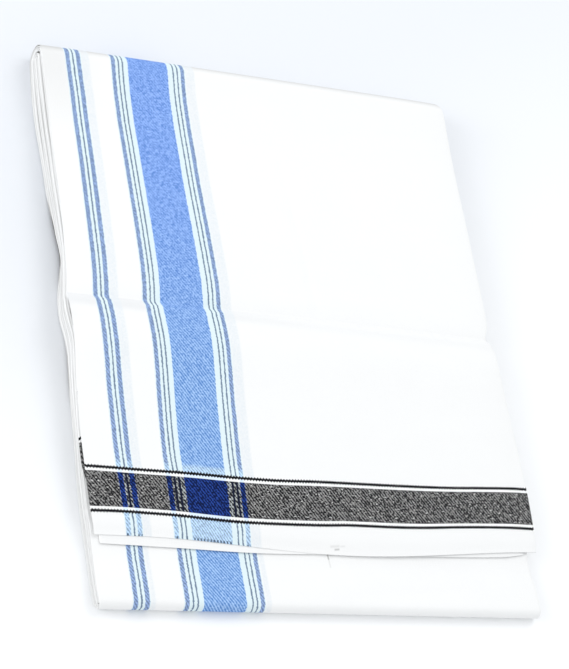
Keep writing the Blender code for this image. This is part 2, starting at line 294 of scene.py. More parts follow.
# Underside of the pack: only its long edges stray
BaseRow = namedtuple("BaseRow", "y left right")
BASE_ROWS = [BaseRow(*row) for row in (
    (-0.199, 0.0012, -0.0012), (-0.188, 0.0002, -0.0008), (-0.165, -0.0005, -0.002),
    (-0.13, -0.001, -0.0016), (-0.08, -0.0002, -0.002), (-0.049, 0.0005, -0.0024),
    (-0.022, 0.0016, -0.003), (-0.003, -0.001, -0.004), (0.011, -0.0003, -0.003),
    (0.026, 0.0025, -0.002), (0.0395, 0.0045, -0.0016), (0.059, 0.0024, -0.0014),
    (0.081, 0.0009, -0.001), (0.108, 0.0, -0.0008), (0.146, -0.0014, -0.0006), (0.18, 0.0, -0.0008),
    (0.199, 0.0014, -0.004),
)]

# The near stretch where it lies bare, between the near fold and the cut end
BareRow = namedtuple("BareRow", "y height left right")
BARE_ROWS = [BareRow(*row) for row in (
    (-0.199, NEAR_FOLD_HEIGHT, 0.0008, -0.0012), (-0.1942, NEAR_FOLD_HEIGHT, -0.0002, -0.0007),
    (-0.18, 0.0092, -0.0006, -0.0008), (-0.168, 0.0083, -0.0002, -0.002),
    (-0.16, 0.0083, -0.0005, -0.0024),
)]

# The top ply gapes at its left edge just below the crease
GAPE = 0.0013
GAPE_REACH = 0.007
GAPE_FROM = (-0.016, -0.008)
GAPE_TO = (-0.003, 0.003)

# Soft creases left in the cloth: a line from one point to another, its width and its depth,
# which is below zero for a ridge
Crease = namedtuple("Crease", "x0 y0 x1 y1 width depth")
TOP_CREASES = [Crease(*row) for row in (
    (0.013, 0.13, 0.02, -0.012, 0.0022, 0.00022), (-0.15, 0.03, -0.06, 0.014, 0.006, 0.0003),
    (-0.02, 0.012, 0.085, 0.02, 0.005, -0.00025), (0.07, -0.01, 0.152, -0.03, 0.0055, 0.00032),
    (0.095, 0.06, 0.158, 0.022, 0.0065, 0.0003), (-0.03, 0.098, 0.062, 0.078, 0.007, -0.00022),
    (0.045, 0.15, 0.14, 0.164, 0.006, 0.00026), (-0.148, 0.165, -0.095, 0.15, 0.006, -0.0002),
    (-0.055, -0.04, 0.01, -0.072, 0.006, 0.00022), (0.06, -0.08, 0.15, -0.07, 0.0075, -0.00026),
    (-0.148, -0.06, -0.12, -0.035, 0.005, 0.0003), (0.11, -0.128, 0.162, -0.15, 0.005, 0.00025),
    (-0.12, -0.15, -0.06, -0.158, 0.004, -0.00022),
)]
CREASE_OVERRUN = 0.2  # by this share of its run it fades out past its ends
CREASE_FULL = (0.25, 0.70)  # and it is at its full depth between these
CREASE_BOW = 1.2  # sideways, for its width and length in metres
WAVE_LENGTH = 0.055
WAVE_HEIGHT = 0.00030
WAVE_SEED = 0.3
PUCKER_LENGTH = 0.013
PUCKER_HEIGHT = 0.00007
PUCKER_STRETCH = 0.7
PUCKER_SEED = 2.7
RELIEF_FADE = 0.020  # to nothing over this as it nears the far fold
RELIEF_MARGIN = 0.002

# Mesh spacing
TOP_SPACING = 0.0021
CREASE_SPACING = 0.0010
FAR_FOLD_STEPS = 16
EDGE_STEPS = 4  # round the folded edge between two plies
EDGE_RETURN = 0.006  # of the turned-under right edge
SHARP_ANGLE = math.radians(60)

HALF_WIDTH = PACK_WIDTH / 2
FAR_RADIUS = FAR_FOLD_HEIGHT / 2
FAR_FOLD_Y = PACK_LENGTH / 2 - FAR_RADIUS
Fold = namedtuple("Fold", "y radius lengths start steps")
FAR_FOLD = Fold(FAR_FOLD_Y, FAR_RADIUS, ALL_LENGTHS, math.pi / 2, FAR_FOLD_STEPS)


def smooth_read(rows, column, y):
    """Read a column of a table at y, along a smooth curve through its rows."""
    values = [getattr(row, column) for row in rows]
    stations = [row.y for row in rows]
    if y <= stations[0]:
        return values[0]
    if y >= stations[-1]:
        return values[-1]
    i = next(k for k in range(len(stations) - 1) if y <= stations[k + 1])
    before, after = max(i - 1, 0), min(i + 2, len(stations) - 1)
    span = stations[i + 1] - stations[i]
    slope_in = (values[i + 1] - values[before]) / (stations[i + 1] - stations[before]) * span
    slope_out = (values[after] - values[i]) / (stations[after] - stations[i]) * span
    t = (y - stations[i]) / span
    return (values[i] * (2 * t ** 3 - 3 * t ** 2 + 1) + values[i + 1] * (3 * t ** 2 - 2 * t ** 3)
            + slope_in * (t ** 3 - 2 * t ** 2 + t) + slope_out * (t ** 3 - t ** 2))


def smooth_step(start, stop, y):
    """Rise from 0 at start to 1 at stop."""
    t = min(max((y - start) / (stop - start), 0.0), 1.0)
    return t * t * (3 - 2 * t)


def between(start, stop, y):
    """Rise from 0 to 1 over the pair start, and fall back to 0 over the pair stop."""
    return smooth_step(*start, y) * (1 - smooth_step(*stop, y))


def top_height(y):
    """Height of the top of the pack, without the crease."""
    return smooth_read(TOP_ROWS, "height", y)


def crease_drop(x, y):
    """How far the crease pressed across the pack lies below the top."""
    across = min(max(x / PACK_WIDTH + 0.5, 0.0), 1.0)
    beyond = y - (CREASE_LEFT_Y + (CREASE_RIGHT_Y - CREASE_LEFT_Y) * across)
    if beyond > 0:
        return CREASE_DROP * math.exp(-beyond / CREASE_FAR_REACH)
    return CREASE_DROP * (1 - smooth_step(0, CREASE_NEAR_RUN, -beyond))


def crease_relief(creases, x, y):
    """Sum of the soft creases at a point."""
    total = 0.0
    for crease in creases:
        start, end = Vector((crease.x0, crease.y0)), Vector((crease.x1, crease.y1))
        run = end - start
        along = (Vector((x, y)) - start).dot(run) / run.length_squared
        if -CREASE_OVERRUN < along < 1 + CREASE_OVERRUN:
            bow = CREASE_BOW * crease.width * run.length * math.sin(math.pi * along)
            aside = abs((Vector((x, y)) - start).cross(run) / run.length + bow)
            fade = smooth_step(-CREASE_OVERRUN, CREASE_FULL[0], along)
            fade *= 1 - smooth_step(CREASE_FULL[1], 1 + CREASE_OVERRUN, along)
            total -= crease.depth * fade * math.exp(-(aside / crease.width) ** 2)
    return total


def top_relief(x, y):
    """Soft creases and waves of the cloth on the top of the pack."""
    wave = noise.noise(Vector((x, y, WAVE_SEED)) / WAVE_LENGTH) * WAVE_HEIGHT
    pucker = noise.noise(Vector((x * PUCKER_STRETCH, y, PUCKER_SEED)) / PUCKER_LENGTH) * PUCKER_HEIGHT
    fade = 1 - smooth_step(FAR_FOLD_Y - RELIEF_FADE, FAR_FOLD_Y, y)
    return (wave + pucker + crease_relief(TOP_CREASES, x, y)) * fade


def under_top(y):
    """Depth from the top of the pack to the stretch that comes up from the near fold."""
    step = smooth_step(OTHER_END_CUT_Y - STEP_RUN, OTHER_END_CUT_Y, y)
    pressed = CUT_END_STEP + (TWO_LENGTHS_STEP - CUT_END_STEP) * step
    return max(pressed, top_height(y) * (1 - LENGTHS_IN_ROLL / ALL_LENGTHS))


def level(y, count):
    """Height of the surface on top of this many lengths of cloth, counted from the underside."""
    bare = y <= BARE_ROWS[-1].y
    roll = smooth_read(BARE_ROWS, "height", y) if bare else top_height(y) - under_top(y)
    if count <= LENGTHS_IN_ROLL:
        return roll * count / LENGTHS_IN_ROLL
    if count == ALL_LENGTHS:
        return top_height(y)
    evened = smooth_step(OTHER_END_CUT_Y, OTHER_END_CUT_Y + EVENING_RUN, y)
    first_length = CUT_END_STEP + (under_top(y) / 2 - CUT_END_STEP) * evened
    return top_height(y) - first_length


def pressed_down(y, depth, from_cut, flatter):
    """Height of a point this deep in the top length, which lies flatter next to its cut end."""
    rest = level(y, LENGTHS_IN_ROLL)
    above = level(y, ALL_LENGTHS) - depth - rest
    return rest + above * (1 - flatter * (1 - smooth_step(0.0, CUT_END_PRESS_RUN, from_cut)))


def gaping(y):
    """1 where the top ply's left edge gapes."""
    return between(GAPE_FROM, GAPE_TO, y)


def top_edge(side, y):
    """Stray of the top stretch's long edge."""
    return smooth_read(TOP_ROWS, side, y)


def place(share, y, z, upper_edge, insets=(0.0, 0.0)):
    """A point of the pack: share runs 0 to 1 from its left edge to its right edge."""
    lift = min(max(z / top_height(y), 0.0), 1.0)
    strays = []
    for side in ("left", "right"):
        base = smooth_read(BASE_ROWS, side, y)
        strays.append(base + (upper_edge(side, y) - base) * lift)
    left = -HALF_WIDTH + strays[0] + insets[0]
    right = HALF_WIDTH + strays[1] - insets[1]
    x = left + (right - left) * share
    from_left, from_right = max(HALF_WIDTH + x, 0.0), max(HALF_WIDTH - x, 0.0)
    fall = (LEFT_FALL * math.exp(-from_left / FALL_REACH)
            + RIGHT_FALL * math.exp(-from_right / FALL_REACH))
    drop = crease_drop(x, y) * lift ** 2
    relief = top_relief(x, y) * lift ** 3 if y > CUT_END_Y - RELIEF_MARGIN else 0.0
    return Vector((x, y, z * (1 - fall) - drop + relief))


def spaced(start, stop, spacing):
    """Even places from start to stop, about spacing apart."""
    count = max(round(abs(stop - start) / spacing), 1)
    return [start + (stop - start) * k / count for k in range(count + 1)]


def row_places(start, stop, spacing):
    """Places along the pack from start to stop, closer together at the crease."""
    low, high = min(start, stop), max(start, stop)
    marks = [low, *(mark for mark in CREASE_ZONE if low < mark < high), high]
    places = [high]
    for begin, end in zip(marks, marks[1:]):
        creased = CREASE_ZONE[0] <= begin < CREASE_ZONE[1]
        places += spaced(begin, end, CREASE_SPACING if creased else spacing)[:-1]
    return sorted(places, reverse=start > stop)


# A place on the winding: the two faces of one length of cloth there, each as (y, z), and how
# far along the cloth it lies
Station = namedtuple("Station", "outer inner along")


def flat_run(start, stop, length, spacing):
    """Stations along a straight stretch of a length of cloth."""
    places = row_places(start, stop, spacing)
    return [Station(*((y, level(y, count)) for count in length), 0.0) for y in places]


def round_fold(fold, length):
    """Stations round a fold of half a turn, clockwise as seen from the left side."""
    stations = []
    for k in range(1, fold.steps):
        angle = fold.start - math.pi * k / fold.steps
        faces = []
        for count in length:
            reach = fold.radius * abs(2 * count / fold.lengths - 1)
            faces.append((fold.y + reach * math.cos(angle), fold.radius + reach * math.sin(angle)))
        stations.append(Station(*faces, 0.0))
    return stations


def measured(stations, start):
    """Number the stations by their distance along the cloth."""
    marked, along = [], start
    for k, station in enumerate(stations):
        if k:
            along += math.dist(station.outer, stations[k - 1].outer)
        marked.append(station._replace(along=along))
    return marked


def run_of(stations):
    """Length of cloth along measured stations."""
    return stations[-1].along - stations[0].along


# A column of a ply: share across the pack, which of the four plies, and for a point on a fold
# at an edge its angle round it
Column = namedtuple("Column", "share ply side angle")


def turned_columns(spacing):
    """Columns across one ply and round its right edge, to the narrow return under it."""
    columns = [Column(share, 0, 0, 0.0) for share in spaced(0.0, 1.0, spacing / PACK_WIDTH)]
    columns += [Column(1.0, 0, 1, math.pi * step / EDGE_STEPS) for step in range(1, EDGE_STEPS)]
    return columns + [Column(1.0 - inset / PACK_WIDTH, 1, 0, 0.0) for inset in (0.0, EDGE_RETURN)]


def ply_point(station, ply):
    """Where a ply lies at a station: y, z and the spacing of the plies there."""
    thickness = math.dist(station.outer, station.inner)
    spacing = (thickness - CLOTH_CLEARANCE - CLOTH_WALL) / (PLIES_ACROSS - 1)
    t = (CLOTH_WALL / 2 + ply * spacing) / thickness
    y = station.outer[0] + (station.inner[0] - station.outer[0]) * t
    z = station.outer[1] + (station.inner[1] - station.outer[1]) * t
    return y, z, spacing


def lay_cloth(builder, stations, columns, upper_edge, shape=None, threads=None):
    """Add one sheet to a bmesh: a grid, laid along the stations and across the columns.

    shape(share, ply, station, y, z) gives the point's own y, z and how far the edges draw in.
    threads(across, along, y) gives where it lies on the cloth, if not at across and along.
    Vertex layers, where there are any: "tuck" takes how far in from the pack's edge a point
    lies, and "from_cut" how far along the cloth from its first station.
    """
    rows, across = len(stations) - 1, len(columns) - 1
    grid = bmesh.ops.create_grid(builder, x_segments=across, y_segments=rows, size=0.5)
    uv_layer = builder.loops.layers.uv.verify()
    tuck_layer = builder.verts.layers.float.get("tuck")
    from_cut_layer = builder.verts.layers.float.get("from_cut")
    uv_of = {}
    for vert in grid["verts"]:
        column = columns[round((vert.co.x + 0.5) * across)]
        station = stations[round((vert.co.y + 0.5) * rows)]
        turn = (1 - math.cos(column.angle)) / 2 if column.side else 0.0
        y, z, spacing = ply_point(station, column.ply + turn)
        insets = (0.0, 0.0)
        if shape:
            y, z, insets = shape(column.share, column.ply + turn, station, y, z)
        vert.co = place(column.share, y, z, upper_edge, insets)
        if tuck_layer:
            vert[tuck_layer] = min(column.share * PACK_WIDTH + insets[0],
                                   (1 - column.share) * PACK_WIDTH + insets[1])
        if from_cut_layer:
            vert[from_cut_layer] = station.along - stations[0].along
        uv_of[vert] = (vert.co.x, station.along)
        if threads:
            uv_of[vert] = threads(vert.co.x, station.along, vert.co.y)
        vert.co.x += column.side * math.sin(column.angle) * spacing / 2 + PACK_CENTRE_X
    for face in {face for vert in grid["verts"] for face in vert.link_faces}:
        for loop in face.loops:
            loop[uv_layer].uv = uv_of[loop.vert]


def finished_cloth(name, builder, material):
    """Give a sheet its thickness, with crisp cut edges."""
    piece = new_object(name, builder, material)
    wall = piece.modifiers.new("wall", "SOLIDIFY")
    wall.thickness = CLOTH_WALL
    wall.offset = 0.0
    thick = bpy.data.meshes.new_from_object(piece.evaluated_get(bpy.context.evaluated_depsgraph_get()))
    piece.modifiers.clear()
    sheet = piece.data
    piece.data = thick
    bpy.data.meshes.remove(sheet)
    thick.name = name
    thick.set_sharp_from_angle(angle=SHARP_ANGLE)
    return piece


# Woven border: the two edges of each coloured line, across the cloth from its middle
THICK_LINES = ((-0.1394, -0.1365), (-0.1318, -0.1288), (-0.1066, -0.1038), (-0.0555, -0.0527))
THIN_LINES = (
    (-0.1346, -0.1336), (-0.1019, -0.1009), (-0.0989, -0.0979), (-0.0616, -0.0606),
    (-0.0585, -0.0575),
)
WIDE_LINE = (-0.0945, -0.0653)
BORDER_GROUPS = ((-0.1400, -0.1282), (-0.1072, -0.0521))
SHOWING_THROUGH = ((-0.1282, -0.1225), (-0.0519, -0.0450))

# Woven band across the cloth: the two edges, along it, of two dark lines and of the grey
# band between them
DARK_LINES = ((-0.1397, -0.1378), (-0.1112, -0.1093))
GREY_BAND = (-0.1360, -0.1130)
BAND_FIELD = (-0.1394, -0.1095)
PALE_ABOVE = -0.1050  # the warp shows paler from here to the cut end
PALE_RUN = 0.0018

WHITE = (0.86, 0.86, 0.855)
MOTTLE_SIZE = 0.030  # of faintly darker patches
MOTTLE_DETAIL = 3.0
MOTTLE_TONES = (1.0, 0.985)
GAP_WHITE = (0.70, 0.81, 0.84)
SHOWN_WHITE = (0.73, 0.77, 0.80)  # where a lower ply's border shows through
SHOWN_SHARES = (0.40, 0.45)  # everywhere, and in its specks
# Painted shade in a strip just below the crease
CREASE_SHADE_GREY = (0.775, 0.78, 0.785)
CREASE_GREY_START = (-0.0004, 0.0010)  # this far below the crease
CREASE_GREY_END = (0.0060, 0.0120)
CREASE_GREY_FADE = (-0.12, 0.04)  # weaker across the pack between these
CREASE_GREY_LOSS = 0.70
FOLD_SHADE_GREY = (0.62, 0.62, 0.615)  # painted shade round the far fold
FOLD_GREYED = (0.1940, 0.2030)
FOLD_GREY_RUN = 0.0080
FOLD_GREY_SHARE = 0.85
# Painted shade at the far fold's left corner
CORNER_ACROSS = (-0.150, -0.110)
CORNER_ALONG = (0.110, 0.185)
CORNER_SHADE_SHARE = 0.30
BLUE = (0.38, 0.565, 0.86)
BLUE_DEEP = (0.085, 0.218, 0.535)
FAR_BLUE = (0.34, 0.51, 0.925)  # the wide line is fresher further up the pack
FAR_BLUE_DEEP = (0.076, 0.197, 0.575)
FRESHER = (-0.080, 0.120)
LINE_BLUE = (0.235, 0.325, 0.53)
LINE_BLUE_TONES = (0.62, 1.38)  # of its darkest and its lightest threads
LINE_SLATE = (0.16, 0.22, 0.31)
END_SLATE = (0.09, 0.13, 0.19)
PALE_BLUE = (0.44, 0.60, 0.80)
PALE_BLUE_TONES = (0.60, 1.30)
PALE_WHITE = (0.70, 0.80, 0.93)
NAVY = (0.008, 0.024, 0.125)
NAVY_TONES = (0.35, 2.5)
NAVY_BLACK = (0.010, 0.013, 0.030)
CHARCOAL_DARK = (0.010, 0.010, 0.012)
CHARCOAL_LIGHT = (0.275, 0.272, 0.268)
SLUB_WHITE = (0.62, 0.62, 0.61)
BLACK = (0.008, 0.008, 0.010)
FLECK = (0.42, 0.40, 0.36)

COTTON_ROUGHNESS = 0.9
WEAVE_PITCH = 0.0010  # of a group of threads
WEAVE_HEIGHT = 0.35
WEAVE_DEPTH = 0.00012
WEAVE_STRENGTH = 0.6
YARN_SIZE = 0.0009
YARN_STRETCH = 8.0
YARN_HEIGHT = 0.9
TWILL_PITCH = 0.0029
TWILL_SLOPE = 1.33
TWILL_SHARE = 0.52
TWILL_LOSS = 0.32  # its pattern shows less up the pack, between these places
TWILL_FADE = (-0.080, 0.060)
SPECK_SIZE = 0.00095
SPECK_SHARE = 0.40
STREAK_SIZE = 0.0011
STREAK_STRETCH = (2.6, 1.3)
STREAK_SHARE = 0.55
DYED_RANGE = (-0.42, 0.42)  # from the darkest threads to the lightest
CHARCOAL_PITCH = 0.00305
CHARCOAL_TWILL_SHARE = 0.80
CHARCOAL_FLECK = 0.00100
CHARCOAL_FLECK_SHARE = 0.95
CHARCOAL_RANGE = (0.64, 1.40)
SLUB_SIZE = 0.0010  # of thick white yarns
SLUB_STRETCH = (2.2, 1.0)
SLUB_RANGE = (0.62, 0.68)
GAP_SHARE = 0.35  # of the gaps between lines, in the grey band
LINE_SOFTNESS = 0.0004
WEFT_SOFTNESS = 0.0003
GROUP_SOFTNESS = 0.0012
SHOWN_SOFTNESS = 0.0020
TOOTH_PITCH = 0.0021  # of the little teeth along a dark weft line
TOOTH_REACH = 0.0007
TOOTH_UNEVEN = 0.000175
NAVY_WIDENING = 0.0003  # border lines look wider inside the grey band
END_PITCH = 0.0024  # of the thread ends along the cut
END_PITCH_SHARE = 0.6
END_REACH = (0.0014, 0.0024)
END_RANGE = (0.40, 0.70)
SEEDS_PER_METRE = 11.0
SEED_SIZE = 0.009  # as a share of their spacing
SEED_CORE = 0.6

# Little marks on the white cloth, a smudge and the painted shade of a short crease: a line from one
# point to another, its width and its strength
Mark = namedtuple("Mark", "x0 y0 x1 y1 width share")
TOP_MARKS = [Mark(*row) for row in (
    (0.0072, -0.1543, 0.0108, -0.1542, 0.0011, 0.6), (0.0042, -0.1524, 0.011, -0.1522, 0.0014, 0.22),
    (0.0115, -0.1524, 0.015, -0.1524, 0.001, 0.18),
)]
MARK_AND_CREASE_SHADE_GREY = (0.34, 0.34, 0.33)


def any_of(u, lines, softness):
    """1 on any of these lines of the border."""
    total = u.strip(*lines[0], softness)
    for line in lines[1:]:
        total = total + u.strip(*line, softness)
    return total


def widened(lines):
    """The same lines of the border, each a little wider."""
    return [(start - NAVY_WIDENING, stop + NAVY_WIDENING) for start, stop in lines]


def toned(colour, tones):
    """The colour in each of these tones."""
    return [[part * tone for part in colour] for tone in tones]


def cotton_threads(tree):
    """Where a point lies on the cloth: across it, along it, and as a vector."""
    spot = tree.node("ShaderNodeUVMap", {}, {})
    parts = tree.node("ShaderNodeSeparateXYZ", {}, {"Vector": spot})
    across, along = parts, Wire(tree.tree, parts.socket.node.outputs["Y"])
    return across, along, spot


def yarn_noise(tree, spot, stretch, size, detail=2.0):
    """Noise drawn out along the threads by stretch, an (across, along) pair."""
    scaled = tree.node("ShaderNodeVectorMath", {"operation": "MULTIPLY"},
                       {0: spot, 1: (1 / (size * stretch[0]), 1 / (size * stretch[1]), 1.0)})
    return tree.node("ShaderNodeTexNoise", {}, {"Vector": scaled, "Scale": 1.0, "Detail": detail})


def specks(tree, spot, size):
    """Uneven dots, one for each little square of the weave."""
    scaled = tree.node("ShaderNodeVectorMath", {"operation": "MULTIPLY"}, {0: spot, 1: (1 / size,) * 3})
    square = tree.node("ShaderNodeVectorMath", {"operation": "FLOOR"}, {0: scaled})
    return tree.node("ShaderNodeTexWhiteNoise", {}, {"Vector": square})


def plain_weave(tree, across, along, spot):
    """Height of the weave: warp over weft, with uneven yarns."""
    weave = across.sine(WEAVE_PITCH) * along.sine(WEAVE_PITCH)
    weft = yarn_noise(tree, spot, (1.0, YARN_STRETCH), YARN_SIZE)
    warp = yarn_noise(tree, spot, (YARN_STRETCH, 1.0), YARN_SIZE)
    return weave * WEAVE_HEIGHT + (weft + warp) * YARN_HEIGHT


def finish_cotton(tree, colour, threads):
    """The shader of matt cotton, with its weave as a bump.  threads is (across, along, spot)."""
    normal = tree.node("ShaderNodeBump", {}, {
        "Strength": WEAVE_STRENGTH, "Distance": WEAVE_DEPTH, "Height": plain_weave(tree, *threads)})
    finish_material(tree, colour, COTTON_ROUGHNESS, normal)


def marked_cloth(colour, across, along, marks):
    """The colour with short grey marks drawn on it: smudges, and painted shade along short creases."""
    for mark in marks:
        run = Vector((mark.x1 - mark.x0, mark.y1 - mark.y0))
        ahead = run.normalized()
        forwards = (across - mark.x0) * ahead.x + (along - mark.y0) * ahead.y
        aside = (across - mark.x0) * ahead.y - (along - mark.y0) * ahead.x
        drawn = aside.strip(-mark.width / 2, mark.width / 2, mark.width)
        drawn = drawn * forwards.strip(0.0, run.length, mark.width)
        colour = (drawn * mark.share).blend(colour, MARK_AND_CREASE_SHADE_GREY)
    return colour


def crease_painted_shade(across, along):
    """Share of the painted shade just below the crease, most at its left end."""
    slope = (CREASE_RIGHT_Y - CREASE_LEFT_Y) / PACK_WIDTH
    below = across * slope + (CREASE_LEFT_Y + CREASE_RIGHT_Y) / 2 - along
    greyed = below.rise(*CREASE_GREY_START) * (1 - below.rise(*CREASE_GREY_END))
    return greyed * (1 - across.rise(*CREASE_GREY_FADE) * CREASE_GREY_LOSS)


def fold_painted_shade(across, along):
    """Share of the painted shade along the far fold and at its left corner."""
    corner = (1 - across.rise(*CORNER_ACROSS)) * along.rise(*CORNER_ALONG)
    folded = along.strip(*FOLD_GREYED, FOLD_GREY_RUN)
    return folded * FOLD_GREY_SHARE + corner * CORNER_SHADE_SHARE


def bordered_cotton(name, with_end_band, outermost=False, shown=SHOWING_THROUGH, marks=()):
    """White cotton with its woven blue border, and across one end the grey band."""
    material, tree = new_material(name)
    across, along, spot = cotton_threads(tree)
    mottle = yarn_noise(tree, spot, (1.0, 1.0), MOTTLE_SIZE, MOTTLE_DETAIL)
    twill = (across * TWILL_SLOPE + along).sine(TWILL_PITCH) * 0.5
    speck = specks(tree, spot, SPECK_SIZE)
    streak = yarn_noise(tree, spot, STREAK_STRETCH, STREAK_SIZE)
    loss = along.rise(*TWILL_FADE) * TWILL_LOSS if outermost else 0.0
    dyed = twill * (TWILL_SHARE - loss) + (speck - 0.5) * SPECK_SHARE + (streak - 0.5) * STREAK_SHARE
    dyed = dyed.rise(*DYED_RANGE)
    uneven = across + (speck - 0.5) * LINE_SOFTNESS

    colour = mottle.blend(*toned(WHITE, MOTTLE_TONES))
    if outermost:
        # Painted shade just below the crease
        colour = crease_painted_shade(across, along).blend(colour, CREASE_SHADE_GREY)
        # Painted shade round the far fold and at its left corner
        colour = fold_painted_shade(across, along).blend(colour, FOLD_SHADE_GREY)
    colour = marked_cloth(colour, across, along, marks)
    shows = speck * SHOWN_SHARES[1] + SHOWN_SHARES[0]
    colour = (any_of(across, shown, SHOWN_SOFTNESS) * shows).blend(colour, SHOWN_WHITE)

    # The border's lines
    gaps = any_of(across, BORDER_GROUPS, GROUP_SOFTNESS)
    thick = any_of(uneven, THICK_LINES, LINE_SOFTNESS)
    thin = any_of(uneven, THIN_LINES, LINE_SOFTNESS)
    wide = uneven.strip(*WIDE_LINE, LINE_SOFTNESS)
    broad = dyed.blend(BLUE_DEEP, BLUE)
    if outermost:
        broad = along.rise(*FRESHER).blend(broad, dyed.blend(FAR_BLUE_DEEP, FAR_BLUE))
    colour = gaps.blend(colour, GAP_WHITE)
    colour = thick.blend(colour, dyed.blend(*toned(LINE_BLUE, LINE_BLUE_TONES)))
    colour = thin.blend(colour, LINE_SLATE)
    colour = wide.blend(colour, broad)

    if with_end_band:
        blues = thick + wide
        pale = 1 - along.rise(PALE_ABOVE - PALE_RUN, PALE_ABOVE + PALE_RUN)
        colour = (pale * blues).blend(colour, dyed.blend(*toned(PALE_BLUE, PALE_BLUE_TONES)))

        # The grey band, its crossings with the border and its two dark lines
        coarse = (across * TWILL_SLOPE + along).sine(CHARCOAL_PITCH) * 0.5 + 0.5
        flecks = specks(tree, spot, CHARCOAL_FLECK)
        grain = (coarse * CHARCOAL_TWILL_SHARE + flecks * CHARCOAL_FLECK_SHARE).rise(*CHARCOAL_RANGE)
        slub = yarn_noise(tree, spot, SLUB_STRETCH, SLUB_SIZE).rise(*SLUB_RANGE)
        charcoal = slub.blend(grain.blend(CHARCOAL_DARK, CHARCOAL_LIGHT), SLUB_WHITE)
        charcoal = (gaps * grain * GAP_SHARE).blend(charcoal, GAP_WHITE)
        dark_thin = any_of(uneven, widened(THIN_LINES), LINE_SOFTNESS)
        dark_thick = any_of(uneven, widened(THICK_LINES + (WIDE_LINE,)), LINE_SOFTNESS)
        charcoal = dark_thin.blend(charcoal, NAVY_BLACK)
        charcoal = dark_thick.blend(charcoal, grain.blend(*toned(NAVY, NAVY_TONES)))
        toothed = along + across.sine(TOOTH_PITCH) * (TOOTH_REACH / 2)
        toothed = toothed + (speck - 0.5) * TOOTH_UNEVEN
        colour = along.strip(*BAND_FIELD, WEFT_SOFTNESS).blend(colour, blues.blend(WHITE, PALE_WHITE))
        colour = along.strip(*GREY_BAND, WEFT_SOFTNESS).blend(colour, charcoal)
        colour = any_of(toothed, DARK_LINES, WEFT_SOFTNESS).blend(colour, BLACK)
    if outermost:
        from_cut = tree.node("ShaderNodeAttribute", {"attribute_name": "from_cut"}, {}, output="Fac")
        threads = (across.sine(END_PITCH) * END_PITCH_SHARE + speck).rise(*END_RANGE)
        ends = (1 - from_cut.rise(*END_REACH)) * threads
        colour = (ends * (thick + thin + wide)).blend(colour, END_SLATE)

    seeds = tree.node("ShaderNodeTexVoronoi", {}, {"Vector": spot, "Scale": SEEDS_PER_METRE})
    colour = (1 - seeds.rise(SEED_SIZE * SEED_CORE, SEED_SIZE)).blend(colour, FLECK)
    finish_cotton(tree, colour, (across, along, spot))
    return material


def bowed(share, y):
    """Y of a crosswise thread: bowed at the cut end, and straight further up the pack."""
    x = (share - 0.5) * PACK_WIDTH
    turn = min(abs(x - CUT_END_BOW_CENTRE) / CUT_END_BOW_REACH, 1.0)
    bow = CUT_END_BOW * (1 - math.cos(math.pi * turn)) / 2
    run_out = max(1 - (y - CUT_END_Y) / BOW_RUN_OUT, 0.0)
    return y + bow * run_out ** 2


# How far the warp threads wander sideways along the pack: at the outer border line, and at
# the two edges of the wide one
Wander = namedtuple("Wander", "y outer left right")
THREAD_WANDER = [Wander(*row) for row in (
    (-0.165, 0.0034, 0.0026, 0.0006), (-0.15, 0.0027, 0.002, 0.0002), (-0.136, 0.0016, 0.001, 0.0),
    (-0.116, 0.0003, 0.0003, 0.0), (-0.1, -0.0007, -0.0008, -0.0003),
    (-0.08, -0.0011, -0.0008, -0.0001), (-0.06, -0.0014, -0.0003, 0.0002),
    (-0.045, -0.0013, 0.0001, 0.0006), (-0.02, -0.0015, 0.0001, 0.001),
    (-0.01, -0.0015, -0.0002, 0.0009), (-0.004, -0.0018, -0.0005, 0.0006),
    (0.002, -0.0023, -0.0007, 0.0005), (0.008, -0.0026, -0.0011, 0.0003),
    (0.018, -0.0021, -0.0003, 0.001), (0.03, -0.0013, 0.0003, 0.0013), (0.06, -0.0008, 0.0003, 0.0007),
    (0.1, 0.0001, 0.0002, 0.0003), (0.125, 0.0004, 0.0001, 0.0005), (0.15, 0.0003, -0.0005, 0.0002),
    (0.17, -0.0002, -0.0007, -0.0001), (0.199, -0.0014, -0.0001, 0.0006),
)]
OUTER_TO_LEFT = (-0.130, -0.104)
LEFT_TO_RIGHT = (-0.095, -0.064)
# How far the band's threads sag towards the near fold, from the left edge (y here is the place
# across) to the right: at its far dark line and at its near one
Sag = namedtuple("Sag", "y far near")
BAND_SAG = [Sag(*row) for row in (
    (-0.156, 0.0004, 0.0004), (-0.14, 0.0009, 0.0003), (-0.12, 0.0014, 0.0008), (-0.1, 0.0017, 0.0015),
    (-0.08, 0.0023, 0.0028), (-0.06, 0.0031, 0.0038), (-0.03, 0.0036, 0.0041), (0.0, 0.003, 0.0037),
    (0.02, 0.003, 0.003), (0.055, 0.0029, 0.003), (0.08, 0.0027, 0.0024), (0.1, 0.0024, 0.0013),
    (0.12, 0.0016, 0.0004), (0.14, 0.0007, -0.0003), (0.155, 0.0, -0.0004),
)]
STRAIGHT_FROM = -0.020  # threads lie straight from here up the pack
PAST_NEAR_LINE = 1.2  # and sag up to here, from 0 at the far line to 1


def top_threads(x, along, y):
    """Where a point of the top lies on the cloth: its own place across and along."""
    if along > FAR_FOLD_Y:
        y = FAR_FOLD_Y
    outer, left, right = [smooth_read(THREAD_WANDER, column, y) for column in ("outer", "left", "right")]
    stray = outer + (left - outer) * smooth_step(*OUTER_TO_LEFT, x)
    stray += (right - left) * smooth_step(*LEFT_TO_RIGHT, x)
    near_line, far_line = [(start + stop) / 2 for start, stop in DARK_LINES]
    nearness = min(max((far_line - y) / (far_line - near_line), 0.0), PAST_NEAR_LINE)
    fade = 1 - smooth_step(far_line, STRAIGHT_FROM, y)
    far_sag, near_sag = [smooth_read(BAND_SAG, column, x) for column in ("far", "near")]
    if along <= FAR_FOLD_Y:
        along = y + (far_sag + (near_sag - far_sag) * nearness) * fade
    return x - stray, along


